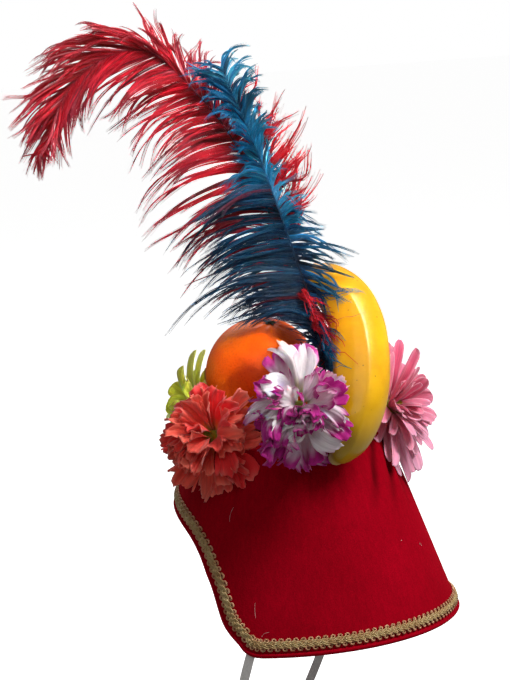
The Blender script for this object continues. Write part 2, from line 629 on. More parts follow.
tree.links.new(bump.outputs[0], shader.inputs["Normal"])


def makeOrange(s):
    middle, radius = np.array(s["orangeMiddle"]), s["orangeRadius"]
    pole = unit(s["calyxLean"])
    side = unit(np.cross(pole, (0, 1, 0)))
    front = np.cross(pole, side)
    polar = np.linspace(0, math.pi, 97)[:, None]
    turn = np.linspace(0, 2 * math.pi, 128, endpoint=False)[None, :]
    fromPole = polar * radius
    dimple = 0.0011 * np.exp(-((fromPole / 0.0055) ** 2)) + 0.0003 * np.exp(-(((fromPole - 0.009) / 0.004) ** 2)) * np.cos(
        turn * 9
    )
    uneven = 0.00025 * np.sin(2 * turn + 0.6) * np.sin(polar) ** 2 + 0.0002 * np.cos(3 * polar)
    reach = radius - dimple - 0.0003 + uneven
    points = (
        np.cos(polar)[..., None] * pole
        + np.sin(polar)[..., None] * (np.cos(turn)[..., None] * side + np.sin(turn)[..., None] * front)
    ) * reach[..., None] + middle
    pile = Pile()
    pile.add(toRow(points.reshape(-1, 3)), gridFaces(97, 128, False, True))
    makePiece("orangeFruit", pile, [peel], "orange")

    # calyx: five worn lobes round a cut stem
    turn = np.linspace(0, 2 * math.pi, 60, endpoint=False)[None, :]
    share = np.array((0.0, 0.18, 0.34, 0.36, 0.42, 0.7, 0.9, 1.0, 0.97, 0.6, 0.0))[:, None]
    lift = np.array((0.9, 0.95, 0.85, 0.3, 0.15, 0.25, 0.4, 0.3, 0.05, -0.25, -0.3))[:, None]
    lobe = 0.74 + 0.26 * np.cos(5 * turn + 0.3 * np.sin(turn * 2))
    wide = 0.0046 * share * np.where(share > 0.4, lobe, 1.0)
    rise = 0.0013 * (lift + 0.18 * np.sin(turn * 3 + share * 5) * (share > 0.4)) + radius - 0.0009
    points = (
        rise[..., None] * pole
        + (wide * np.cos(turn))[..., None] * side
        + (wide * np.sin(turn))[..., None] * front
        + middle
    )
    pile = Pile()
    pile.add(toRow(points.reshape(-1, 3)), gridFaces(11, 60, False, True))
    makePiece("orangeCalyx", pile, [calyxGreen], "orange_calyx")


def bananaAxis(s, count):
    rows = np.array(bananaRows)
    start = np.array((hat["tipRadius"], 0, hat["height"])) + s["bananaSlide"]
    axis = np.column_stack((start + rows[:, :3] * s["bananaLength"], rows[:, 3] * s["bananaRadius"]))
    axis = smoothRoute(axis, count)
    return axis[:, :3], axis[:, 3]


def makeBanana(s):
    axis, sizes = bananaAxis(s, 110)
    first = unit(axis[0] - axis[1])
    last = unit(axis[-1] - axis[-2])
    capShares = ((0.96, 0.02), (0.95, 0.18), (0.90, 0.34), (0.78, 0.58), (0.55, 0.80), (0.28, 0.94))
    axis = np.vstack(
        [[axis[0] + first * sizes[0] * far for far, _ in capShares], axis]
        + [[axis[-1] + last * sizes[-1] * far for far in (0.2, 0.22, 0.2)]]
    )
    sizes = np.concatenate(([sizes[0] * near for _, near in capShares], sizes, sizes[-1] * np.array((0.92, 0.7, 0.02))))
    along = unit(np.gradient(axis, axis=0))
    left = np.array((1.0, 0.0, 0.0))
    side = unit(left - along * (along @ left)[:, None])
    inward = np.cross(along, side)
    turn = np.linspace(0, 2 * math.pi, 90, endpoint=False)[None, :]
    side5 = (turn - s["bananaTurn"]) % (0.4 * math.pi) - 0.2 * math.pi
    ridge = (1 / np.cos(side5) - 1) / 0.236  # the flat sides of a pentagon
    run = np.linspace(0, 1, len(axis))[:, None]
    flatness = np.clip(np.minimum(run * 8, (1 - run) * 6), 0, 1)
    reach = sizes[:, None] * (0.93 + 0.07 * ridge * flatness)
    points = axis[:, None] + reach[..., None] * (
        np.cos(turn)[..., None] * side[:, None] + np.sin(turn)[..., None] * inward[:, None]
    )
    stops = (
        (0.0, "#f4ead0"), (0.042, "#dccb88"), (0.062, "#b49c28"), (0.11, "#c8a806"), (0.22, "#e0ac00"),
        (0.5, "#eca800"), (0.86, "#eaa800"), (0.93, "#c9a82a"), (0.97, "#8a7a30"), (1.0, "#4a3a20"),
    )
    table = np.array([toLinear(colour)[:3] for _, colour in stops])
    tint = np.column_stack([np.interp(run[:, 0], [at for at, _ in stops], table[:, k]) for k in range(3)])
    tint = np.repeat(tint[:, None], 90, axis=1)
    inner = 0.5 + 0.5 * np.cos(turn - 1.3 * math.pi)
    tint = tint * (1 - (0.10 * inner * (1 - run))[..., None] * np.array((0.9, 0.2, 0.0)))
    pile = Pile()
    faces = gridFaces(len(axis), 90, False, True) + [list(range(90))]
    pile.add(toRow(points.reshape(-1, 3)), faces, tint=tint.reshape(-1, 3))
    makePiece("bananaFruit", pile, [skinYellow], "banana")


makeOrange(fruitSet)
makeBanana(fruitSet)


def keepOff(points, margin):
    # moves points of soft pieces out of the fruit and the crown, in the heap's frame
    points = np.array(points, dtype=float)
    shape = points.shape
    points = points.reshape(-1, 3)
    middle, radius = np.array(fruitSet["orangeMiddle"]), fruitSet["orangeRadius"] + margin
    away = points - middle
    far = np.linalg.norm(away, axis=1)
    inside = far < radius
    points[inside] = middle + away[inside] / far[inside, None] * radius
    axis, sizes = bananaAxis(fruitSet, 60)
    away = points[:, None, :] - axis[None]
    gap = np.linalg.norm(away, axis=2) - sizes[None] - margin
    near = gap.argmin(axis=1)
    rows = np.arange(len(points))
    inside = gap[rows, near] < 0
    push = away[rows, near]
    points[inside] = (axis[near] + unit(push) * (sizes[near] + margin)[:, None])[inside]
    radial = np.hypot(points[:, 0], points[:, 1])
    over = points[:, 2] - hat["height"]
    beside = (radial - hat["tipRadius"]) * math.cos(slope) + over * math.sin(slope)
    low = (np.maximum(over, beside) < margin) & (over > -0.11)
    lift = low & (over >= beside)
    points[lift, 2] += margin - over[lift]
    aside = low & (over < beside)
    outward = unit(points * (1, 1, 0)) * math.cos(slope) + up * math.sin(slope)
    points[aside] += outward[aside] * (margin - beside[aside])[:, None]
    return points.reshape(shape)


# silk flowers: stamped and heat-ruffled petals in rounds on a stem

flowers = {
    "coralCarnation": {
        "node": "coral_carnation", "slot": "coral_silk", "middle": (0.0515, -0.0495, 0.1320),
        "reach": (0.030, 0.033, 0.043), "facing": (0.80, -0.55, 0.20), "seed": 12, "scatter": 18, "twist": 0.9,
        "rounds": ((9, 104, 1.00), (10, 84, 1.00), (10, 66, 0.98), (9, 48, 0.94), (6, 30, 0.90), (4, 13, 0.84)),
        "width": 0.0105, "notch": 0.22, "kind": "carnation", "root": 0.24, "foot": (0.034, -0.036),
        "colours": ("#ff8e72", "#ff3c2c", "#f01822", "#e0c040"), "edge": "#ff8c7c",
    },
    "magentaCarnation": {
        "node": "magenta_carnation", "slot": "magenta_silk", "middle": (0.0765, 0.0082, 0.1495),
        "reach": (0.031, 0.038, 0.047), "facing": (1.00, 0.05, 0.20), "seed": 23, "scatter": 24, "twist": 1.3,
        "rounds": ((11, 104, 1.00), (13, 84, 1.00), (13, 64, 0.98), (12, 46, 0.94), (9, 29, 0.88), (6, 12, 0.82)),
        "width": 0.0088, "notch": 0.20, "kind": "carnation", "root": 0.60, "foot": (0.046, 0.006),
        "colours": ("#fcf4f4", "#e8a4d4", "#c40c8e", "#c8d060"), "edge": "#a80478",
    },
    "pinkMum": {
        "node": "pink_mum", "slot": "pink_silk", "middle": (0.0006, 0.0715, 0.1340),
        "reach": (0.040, 0.029, 0.049), "facing": (0.68, 0.72, 0.10), "seed": 37, "scatter": 9, "twist": 0.5,
        "rounds": ((11, 100, 1.00), (12, 80, 1.00), (11, 62, 0.96), (10, 44, 0.90), (7, 26, 0.80), (4, 10, 0.62)),
        "width": 0.0098, "notch": 0.0, "kind": "mum", "root": 0.16, "foot": (-0.002, 0.048),
        "colours": ("#cc3264", "#f280a6", "#fda8c6", "#ea5c80"), "edge": "#ffc4d8",
    },
    "greenMum": {
        "node": "green_mum", "slot": "green_silk", "middle": (-0.014, -0.062, 0.142),
        "reach": (0.021, 0.019, 0.042), "facing": (0.30, -0.90, 0.40), "seed": 51, "scatter": 8, "twist": 0.4,
        "rounds": ((10, 98, 1.00), (10, 76, 1.00), (9, 54, 0.95), (7, 34, 0.85), (4, 14, 0.70)),
        "width": 0.0130, "notch": 0.0, "kind": "mum", "root": 0.16, "foot": (-0.010, -0.049),
        "colours": ("#a8bc10", "#d4e01c", "#ecf044", "#bccc18"), "edge": "#f2f668",
    },
}


def petalCloth(name, roughness, veinScale):
    material, tree, shader = newMaterial(
        name, Roughness=roughness, Specular_IOR_Level=0.25, Sheen_Weight=0.25, Sheen_Roughness=0.5,
        Subsurface_Weight=0.12, Subsurface_Scale=0.002
    )
    tint = addNode(tree, "VertexColor", {"layer_name": "tint"})
    lay = addNode(tree, "Attribute", {"attribute_name": "lay"})
    stretched = addNode(tree, "Mapping", {"Scale": (1.0, 0.10, 1.0)}, {0: lay.outputs["Vector"]})
    veins = addNode(tree, "TexNoise", {"Scale": veinScale, "Detail": 3.0}, {0: stretched})
    veinTone = addNode(tree, "ValToRGB", {"stops": ((0.32, "#d6cfd0"), (0.62, "#ffffff"))}, {0: veins})
    veined = addNode(tree, "Mix", {"data_type": "RGBA", "blend_type": "MULTIPLY", 0: 0.75}, {6: tint, 7: veinTone})
    tree.links.new(veined.outputs[2], shader.inputs["Base Color"])
    place = addNode(tree, "TexCoord")
    weave = addNode(tree, "TexNoise", {"Scale": 1800.0, "Detail": 1.0}, {0: place.outputs["Object"]})
    both = addNode(tree, "Math", {"operation": "MULTIPLY_ADD", 1: 0.3}, {0: weave, 2: veins})
    bump = addNode(tree, "Bump", {"Strength": 0.4, "Distance": 0.0005}, {"Height": both})
    tree.links.new(bump.outputs[0], shader.inputs["Normal"])
    return material


# thin dyed polyester: soft sheen, pressed veins, colour that runs out toward the petals' edges
carnationSilk = petalCloth("dyed polyester carnation silk", 0.62, 620.0)
mumSilk = petalCloth("dyed polyester chrysanthemum silk", 0.55, 900.0)

stemPlastic, tree, shader = newMaterial(
    "moulded green polyethylene", Roughness=0.45
)  # waxy yellow-green stem and calyx behind the petals
place = addNode(tree, "TexCoord")
flow = addNode(tree, "TexNoise", {"Scale": 220.0, "Detail": 2.0}, {0: place.outputs["Object"]})
tone = addNode(tree, "ValToRGB", {"stops": ((0.3, "#6f8a1e"), (0.7, "#a8b83c"))}, {0: flow})
tree.links.new(tone.outputs[0], shader.inputs["Base Color"])


def petalShape(kind, length, width, notch, rng):
    # points of one petal: across, along and off its face, with shares for its colour
    nu, nv = (21, 10) if kind == "carnation" else (7, 11)
    u = np.linspace(-1, 1, nu)[None, :]
    v = 1 - (1 - np.linspace(0, 1, nv)[:, None]) ** (1.25 if kind == "carnation" else 1.7)
    bend = rng.uniform(-0.2, 1.3) if kind == "carnation" else rng.uniform(0.0, 0.7)
    theta = -bend * v**1.6 + rng.uniform(-0.12, 0.12)
    step = np.diff(v, axis=0) * length
    start = np.zeros((1, 1))
    alongRun = np.concatenate((start, np.cumsum(np.cos(theta[1:]) * step, axis=0)))
    offRun = np.concatenate((start, np.cumsum(np.sin(theta[1:]) * step, axis=0)))
    phase = rng.uniform(0, 6.28)
    if kind == "carnation":
        # a wide fan with a blunt rim, notched here and there and cut with small teeth
        fan = rng.uniform(0.75, 1.25) * width / length
        lobes = rng.choice((1.3, 1.9, 2.4, 3.1))
        split = np.abs(((u + 1) / 2 * lobes + rng.random()) % 1.0 - 0.5) * 2
        teeth = np.abs(((u + 1) / 2 * 9 + rng.random()) % 1.0 - 0.5) * 2
        rim = 1 - 0.10 * np.abs(u) ** 4 - notch * split**8 - 0.045 * teeth
        scale = 1 + (rim - 1) * v**3
        open_ = fan * u * (0.45 + 0.55 * np.clip(v * 1.5, 0, 1))
        across = alongRun * scale * np.sin(open_) + u * 0.0012
        along = alongRun * scale * np.cos(open_)
        ruffle = length * rng.uniform(0.05, 0.13)
        waves = rng.uniform(1.0, 2.2)
        off = offRun * scale + rng.uniform(-0.5, 1.1) * np.abs(across) * np.abs(u) * 0.7
        off = off + ruffle * v**2 * np.sin(waves * math.pi * u + phase)
        off = off + ruffle * 0.35 * v**3 * np.sin(waves * 3.3 * math.pi * u + phase * 2)
    else:
        # a long spoon with a rounded tip and a crease down its middle
        wide = width / 2 * (0.40 + 0.60 * np.sin(np.clip(v * 1.25, 0, 1) * math.pi / 2))
        wide = wide * np.sqrt(np.clip(1 - np.clip((v - 0.87) / 0.134, 0, 1) ** 2, 0.02, 1))
        across = u * wide * (1 + 0.05 * np.sin(phase + 5 * v))
        along = alongRun + 0 * u
        off = offRun + rng.uniform(0.05, 0.45) * wide * u**2
        off = off + width * 0.04 * v * np.sin(math.pi * u + phase + 3 * v)
        off = off - 0.12 * width * np.exp(-((u / 0.22) ** 2)) * v * (1 - v)
    return across, along, off, u + 0 * v, v + 0 * u


def petalColour(form, u, v, rng, layer, rise):
    base, body, deep, heart = (np.array(toLinear(colour)[:3]) for colour in form["colours"])
    edge = np.array(toLinear(form["edge"])[:3])
    streak = 0.5 + 0.5 * np.sin(u * rng.uniform(3, 7) + rng.uniform(0, 6.28))
    if form["node"] == "magenta_carnation":
        # white silk whose rim took the dye, more on some petals than on others
        strength = max(rng.choice((0.1, 0.5, 0.8, 1.0, 1.2, 1.4)), 1.2 if layer < 2 else 0.1)
        reach = np.clip((v + 0.16 * (streak - 0.5) + 0.10 * u**2 - (0.98 - 0.30 * strength)) / 0.32, 0, 1)
        dye = np.clip(reach**1.3 * strength * 1.4, 0, 1)[..., None]
        blush = np.clip(strength - 0.4, 0, 1) * 0.8 * (0.4 + 0.6 * v)[..., None]
        tint = (base * (1 - blush) + body * blush) * (1 - dye)
        tint = tint + (deep * (1 - 0.4 * streak[..., None]) + edge * 0.4 * streak[..., None]) * dye
        green = (np.clip(1 - v / 0.22, 0, 1) * 0.8)[..., None]
        return tint * (1 - green) + heart * green
    if form["node"] == "coral_carnation":
        kind = rng.random()
        body = body * kind + deep * (1 - kind)
        mix = np.clip(v * 1.15 - 0.15, 0, 1)[..., None]
        tint = body * (1 - mix * 0.55 * kind) + base * mix * 0.55 * kind
        rim = (np.clip((v - 0.86) / 0.14, 0, 1) * 0.5 * streak)[..., None]
        tint = tint * (1 - rim) + edge * rim
        gold = (np.clip(1 - v / 0.42, 0, 1) ** 1.3 * (0.9 if layer >= 3 else 0.45))[..., None]
        return tint * (1 - gold) + heart * gold
    kind = min(max(0.5 - 0.55 * rise + rng.uniform(-0.3, 0.3), 0.0), 1.0)  # lighter below, warmer above
    tint = heart * (1 - kind) + deep * kind if form["node"] == "pink_mum" else body * kind + deep * (1 - kind)
    root = (np.clip(1 - v / 0.55, 0, 1) * 0.8)[..., None]
    tint = tint * (1 - root) + base * root
    rim = (np.clip((np.abs(u) - 0.72) / 0.28, 0, 1) * 0.55 + np.clip((v - 0.85) / 0.15, 0, 1) * 0.3)[..., None]
    return tint * (1 - rim) + edge * rim


def makeFlower(name, form):
    rng = random.Random(form["seed"])
    middle, reach = np.array(form["middle"]), np.array(form["reach"])
    facing = unit(form["facing"])
    sideways = unit(np.cross(facing, up))
    upward = np.cross(sideways, facing)
    pile = Pile()
    for layer, (count, polarDegrees, share) in enumerate(form["rounds"]):
        start = rng.uniform(0, 6.28)
        for k in range(count):
            polar = math.radians(polarDegrees + rng.uniform(-1, 1) * form["scatter"])
            turn = start + 2 * math.pi * (k + rng.uniform(-0.03, 0.03) * form["scatter"]) / count
            ring = math.cos(turn) * sideways + math.sin(turn) * upward
            out = unit(math.cos(polar) * facing + math.sin(polar) * ring)
            far = 1 / math.sqrt(((out / reach) ** 2).sum()) * share * rng.uniform(1.02 - form["scatter"] / 70, 1.04)
            for _ in range(7):
                tip = middle + out * far
                if np.linalg.norm(keepOff(tip[None], 0.001)[0] - tip) < 0.003:
                    break
                far *= 0.9  # a petal that would run into the fruit is shorter
            root = middle - facing * 0.007 + out * far * form["root"] * 0.5
            span = unit(tip - root)
            inner = unit(facing - span * float(facing @ span) + up * 0.25)
            inner = unit(inner - span * float(inner @ span))
            length = float(np.linalg.norm(tip - root)) * 1.04
            width = form["width"] * rng.uniform(0.8, 1.2) * (1.0 if layer < 4 else 0.8)
            across, along, off, u, v = petalShape(form["kind"], length, width, form["notch"], rng)
            side = np.cross(span, inner)
            twist = rng.uniform(-1, 1) * form["twist"] * v
            points = (
                root
                + (across * np.cos(twist) - off * np.sin(twist))[..., None] * side
                + along[..., None] * span
                + (across * np.sin(twist) + off * np.cos(twist))[..., None] * inner
            )
            points[..., 2] -= 0.003 * v**2 * rng.uniform(0.2, 1.4)
            points = keepOff(points, 0.0007)
            tint = petalColour(form, u, v, rng, layer, float(out[2]))
            lay = np.stack((across + rng.random(), along, np.full_like(across, rng.random())), axis=-1)
            rows, columns = across.shape
            pile.add(toRow(points.reshape(-1, 3)), gridFaces(rows, columns), tint.reshape(-1, 3), lay.reshape(-1, 3))
    # the moulded calyx and stem that stand on the crown's tip
    foot = np.array((*form["foot"], hat["height"] + hat["gap"]))
    line = smoothRoute(
        (middle + facing * 0.003, middle - facing * 0.006, foot + up * 0.006, foot), 12
    )
    radii = np.interp(np.arange(13), (0, 3, 7, 11, 12), (0.0045, 0.0052, 0.0026, 0.0030, 0.0034))
    points, faces = tube(line, radii, np.broadcast_to(sideways, line.shape), 10)
    pile.add(toRow(points), faces, slot=1)
    silk = carnationSilk if form["kind"] == "carnation" else mumSilk
    makePiece(name, pile, [silk, stemPlastic], form["node"], wall=0.00025)


for name, form in flowers.items():
    makeFlower(name, form)


# ostrich plumes: a quill with hundreds of drooping barbs, each fringed with barbules

redPlume = {
    "node": "plume_red", "slot": "red_ostrich", "rise": 0.254, "left": 0.01528, "lean": -0.003, "seed": 5,
    "quill": ("#3a0c1c", "#8e1428"), "barbules": 94000,
    "route": (
        (0.110, 0.000), (0.108, 0.110), (0.099, 0.220), (0.067, 0.319), (0.040, 0.420), (0.010, 0.531),
        (-0.022, 0.614), (-0.059, 0.712), (-0.109, 0.809), (-0.191, 0.917), (-0.234, 0.964), (-0.270, 0.992),
        (-0.323, 1.000), (-0.384, 0.986), (-0.448, 0.947), (-0.497, 0.890), (-0.533, 0.819), (-0.553, 0.766),
    ),
    # each vane: where it stands on the quill, and how far its locks reach back and up in millimetres
    "vanes": (
        {"from": 0.235, "to": 1.0, "locks": 27, "strands": 6, "barbs": 8, "depth": 0.010, "arch": (0.14, 0.36),
         "spread": 0.0042, "sway": 0.0018, "fringe": 0.0015, "tip": "#9c3048",
         "palette": (("#cc0a22", 2), ("#ee142c", 5), ("#fa2c40", 3), ("#ff6c7c", 1), ("#8c1024", 1)),
         "reach": ((0.235, -50, -4), (0.30, -64, -16), (0.35, -69, -18), (0.40, -68, -23), (0.45, -73, -27),
                   (0.50, -68, -27), (0.55, -55, -25), (0.60, -46, -27), (0.65, -55, -27), (0.70, -55, -32),
                   (0.75, -40, -38), (0.80, -28, -43), (0.85, -14, -45), (0.90, -5, -36), (0.95, -2, -22), (1.0, -1, -8))},
        {"from": 0.55, "to": 1.0, "locks": 23, "strands": 8, "barbs": 8, "depth": 0.012, "arch": (0.10, 0.30),
         "lift": 0.20, "spread": 0.0064, "sway": 0.0024, "fringe": 0.0017, "tip": "#d84458",
         "palette": (("#d60e26", 3), ("#f41c30", 5), ("#ff4454", 3), ("#ff98a2", 2), ("#a81024", 1)),
         "reach": ((0.55, 6, 26), (0.60, 2, 34), (0.65, -18, 36), (0.70, -42, 22), (0.75, -54, 4), (0.80, -50, -14), (0.85, -42, -26),
                   (0.90, -30, -28), (0.95, -18, -22), (1.0, -7, -10))},
        {"from": 0.55, "to": 0.72, "locks": 5, "strands": 2, "barbs": 4, "depth": 0.010, "arch": (0.0, 0.15),
         "spread": 0.0060, "sway": 0.0030, "fringe": 0.0010, "tip": "#8a1c30",
         "palette": (("#c80e28", 3), ("#e41830", 3)),
         "reach": ((0.55, 14, 36), (0.62, 6, 42), (0.72, -12, 44))},
        {"from": 0.33, "to": 0.58, "locks": 17, "strands": 5, "barbs": 10, "depth": 0.007, "arch": (-0.30, 0.05),
         "toward": 0.010, "spread": 0.0052, "sway": 0.0040, "fringe": 0.0026, "woolly": True, "tip": "#e41a30",
         "palette": (("#d40c22", 3), ("#f2142a", 5), ("#fa3444", 2), ("#9c0e20", 1)),
         "reach": ((0.33, 16, 34), (0.38, 24, 36), (0.42, 30, 34), (0.46, 28, 38), (0.50, 24, 34), (0.58, 20, 28))},
        {"from": 0.13, "to": 0.245, "locks": 8, "strands": 3, "barbs": 9, "depth": 0.005, "arch": (0.05, 0.40),
         "toward": 0.040, "spread": 0.0050, "sway": 0.0050, "fringe": 0.0026, "woolly": True, "tip": "#e41a30",
         "palette": (("#d40c22", 3), ("#f2142a", 4), ("#9c0e20", 2)),
         "reach": ((0.13, 12, -4), (0.20, 14, -8), (0.245, 16, -10))},
        {"from": 0.155, "to": 0.165, "locks": 1, "strands": 1, "barbs": 1, "depth": 0.001, "arch": (0.0, 0.02),
         "toward": 0.078, "spread": 0.0004, "sway": 0.0003, "fringe": 0.0004, "tip": "#c01028", "palette": (("#d01030", 1),),
         "reach": ((0.16, 42, 38),)},  # one loose thread
    ),
}
bluePlume = {
    "node": "plume_blue", "slot": "blue_ostrich", "rise": 0.239, "left": 0.03128, "lean": 0.002, "seed": 8,
    "quill": ("#0a1622", "#0e4e7c"), "barbules": 116000,
    "route": (
        (0.108, 0.000), (0.110, 0.120), (0.111, 0.220), (0.099, 0.318), (0.082, 0.395), (0.062, 0.461),
        (0.046, 0.523), (0.030, 0.585), (0.011, 0.650), (-0.008, 0.720), (-0.031, 0.793), (-0.055, 0.866),
        (-0.081, 0.936), (-0.102, 1.000),
    ),
    "vanes": (
        {"from": 0.20, "to": 0.68, "locks": 18, "strands": 6, "barbs": 7, "depth": 0.010, "arch": (0.12, 0.32),
         "spread": 0.0042, "sway": 0.0018, "fringe": 0.0015, "tip": "#20405e",
         "palette": (("#0e3452", 4), ("#12486c", 4), ("#1a5a84", 2), ("#7a1830", 1)),
         "reach": ((0.20, -5, 5), (0.265, -9, 9), (0.29, -36, 6), (0.32, -48, 2), (0.35, -54, -4), (0.38, -60, -12),
                   (0.42, -69, -13), (0.45, -68, -17),
                   (0.50, -65, -18), (0.55, -64, -20), (0.60, -68, -20), (0.65, -53, -15), (0.70, -40, -12))},
        {"from": 0.19, "to": 0.42, "locks": 9, "strands": 6, "barbs": 7, "depth": 0.012, "arch": (0.05, 0.20),
         "spread": 0.0050, "sway": 0.0018, "fringe": 0.0016, "tip": "#1c3450",
         "palette": (("#0c2c48", 4), ("#103e60", 3), ("#7a1830", 1)),
         "reach": ((0.19, -6, 8), (0.265, -9, 10), (0.30, -42, 7), (0.36, -52, 0), (0.42, -60, -8))},
        {"from": 0.66, "to": 1.0, "locks": 14, "strands": 6, "barbs": 7, "depth": 0.007, "arch": (0.20, 0.50),
         "spread": 0.0044, "sway": 0.0014, "fringe": 0.0016, "tip": "#1a7cb4",
         "palette": (("#15608c", 4), ("#1a7cac", 5), ("#3c9abe", 2), ("#103858", 1)),
         "reach": ((0.65, -38, -9), (0.70, -26, -1), (0.75, -16, 7), (0.80, -15, 10), (0.85, -18, 10), (0.90, -22, 10),
                   (0.95, -25, 8), (1.0, -20, 0))},
        {"from": 0.56, "to": 1.0, "locks": 14, "strands": 6, "barbs": 7, "depth": 0.008, "arch": (0.20, 0.50),
         "spread": 0.0044, "sway": 0.0018, "fringe": 0.0017, "tip": "#38a4c0",
         "palette": (("#166c9c", 4), ("#1c86b6", 5), ("#44a6c6", 2), ("#103858", 1)),
         "reach": ((0.56, 18, 1), (0.65, 11, 12), (0.70, 10, 16), (0.75, 11, 18), (0.80, 11, 20), (0.85, 13, 21), (0.90, 17, 18),
                   (0.95, 20, 12), (1.0, 4, 13))},
        {"from": 0.18, "to": 0.60, "locks": 13, "strands": 6, "barbs": 7, "depth": 0.009, "arch": (0.05, 0.24),
         "spread": 0.0042, "sway": 0.0020, "fringe": 0.0018, "tip": "#3090b8",
         "palette": (("#0e3658", 4), ("#105488", 4), ("#167ab4", 2), ("#0a2440", 2)),
         "reach": ((0.18, 12, -4), (0.30, 14, -10), (0.36, 27, -15), (0.40, 30, -18), (0.45, 34, -15), (0.50, 33, -10),
                   (0.55, 27, -5), (0.60, 18, 2))},
        {"from": 0.19, "to": 0.32, "locks": 6, "strands": 3, "barbs": 7, "depth": 0.005, "arch": (0.0, 0.30),
         "toward": 0.030, "spread": 0.0040, "sway": 0.0024, "fringe": 0.0022, "woolly": True, "tip": "#2a94c0",
         "palette": (("#0e4c7c", 3), ("#1478b0", 3), ("#0a2440", 2)),
         "reach": ((0.19, 9, -6), (0.32, 13, -10))},
        {"from": 0.10, "to": 0.27, "locks": 7, "strands": 4, "barbs": 7, "depth": 0.006, "arch": (0.05, 0.24),
         "spread": 0.0046, "sway": 0.0018, "fringe": 0.0018, "tip": "#1c3450",
         "palette": (("#0c2c48", 4), ("#103e60", 3)),
         "reach": ((0.10, -5, 6), (0.18, -10, 6), (0.27, -12, 8))},
    ),
}


def featherMaterial(name):
    material, tree, shader = newMaterial(
        name, Roughness=0.5, Specular_IOR_Level=0.25, Sheen_Weight=0.12, Sheen_Roughness=0.4
    )
    tint = addNode(tree, "VertexColor", {"layer_name": "tint"})
    place = addNode(tree, "TexCoord")
    dye = addNode(tree, "TexNoise", {"Scale": 45.0, "Detail": 3.0}, {0: place.outputs["Object"]})
    dyeTone = addNode(tree, "ValToRGB", {"stops": ((0.3, "#b4a8a8"), (0.68, "#ffffff"))}, {0: dye})
    dyed = addNode(tree, "Mix", {"data_type": "RGBA", "blend_type": "MULTIPLY", 0: 0.8}, {6: tint, 7: dyeTone})
    tree.links.new(dyed.outputs[2], shader.inputs["Base Color"])
    return material


# dyed keratin: soft strands that catch the light along their length, dye a little uneven
redBarbs = featherMaterial("dyed red ostrich feather")
blueBarbs = featherMaterial("dyed blue ostrich feather")


def weighted(palette, rng):
    return np.array(toLinear(rng.choices([c for c, _ in palette], [w for _, w in palette])[0])[:3])


def scatter(rng, size):
    return np.array([rng.gauss(0, size) for _ in range(3)])


def makeBarbs(p, quill, stations, rng):
    # locks divide into strands and strands into barbs, which draw together along their length
    forwards = unit(np.gradient(quill, axis=0))

    def onQuill(share):
        at = min(max(share, 0.0), 1.0) * (len(quill) - 1.01)
        return quill[int(at)] * (1 - at % 1) + quill[int(at) + 1] * (at % 1), forwards[int(at)]

    lines, marks = [], []
    for vane in p["vanes"]:
        lockPitch = (vane["to"] - vane["from"]) / vane["locks"]
        strandPitch = lockPitch / vane["strands"]
        woolly = vane.get("woolly", False)
        shares = [row[0] for row in vane["reach"]]
        for lock in range(vane["locks"]):
            share = vane["from"] + lockPitch * (lock + 0.5)
            root, forward = onQuill(share)
            ends = [np.interp(share, shares, [row[k] for row in vane["reach"]]) / 1000 for k in (1, 2)]
            depth = rng.gauss(p["lean"] + vane.get("toward", 0.0), vane["depth"])
            reach = np.array((depth, *ends)) * rng.uniform(0.84, 1.12)
            size = float(np.linalg.norm(reach))
            arch = rng.uniform(*vane["arch"])
            for strand in range(vane["strands"]):
                strandShare = share + strandPitch * (strand + rng.random() - vane["strands"] / 2)
                strandRoot, _ = onQuill(strandShare)
                elbow = reach / 2 + forward * size * (arch + rng.uniform(-0.1, 0.1)) + up * size * vane.get("lift", 0.0)
                colour = weighted(vane["palette"], rng)
                endShift, sway = scatter(rng, vane["spread"]), scatter(rng, vane["sway"])
                trim, wave = rng.uniform(0.66, 1.06), rng.uniform(1.0, 2.6) * math.pi
                for barb in range(vane["barbs"]):
                    barbRoot, _ = onQuill(strandShare + strandPitch * ((barb + rng.random()) / vane["barbs"] - 0.5) * 1.6)
                    t = stations * trim * rng.uniform(0.62 if woolly else 0.90, 1.0)
                    hold = np.clip((t - 0.15) / (0.35 if woolly else 0.65), 0, 1)
                    hold = hold**2 * (3 - 2 * hold)
                    line = root + 2 * t * (1 - t) * elbow + t**2 * reach
                    line = line + (strandRoot - root) * (1 - 0.45 * hold) + (barbRoot - strandRoot) * (1 - hold)
                    line = line + endShift * t**1.6 + np.sin(t * wave) * t * sway
                    line = line + scatter(rng, 0.0020 if woolly else 0.0007) * t
                    line[:, 2] -= t[:, 0] ** 3 * size * 0.09
                    lines.append(line)
                    marks.append((
                        *(colour * rng.uniform(0.78, 1.18)), *toLinear(vane["tip"])[:3],
                        vane["fringe"] * rng.uniform(0.7, 1.2), 1.0 if woolly else 0.0,
                    ))
    return keepOff(np.array(lines), 0.0008), np.array(marks)


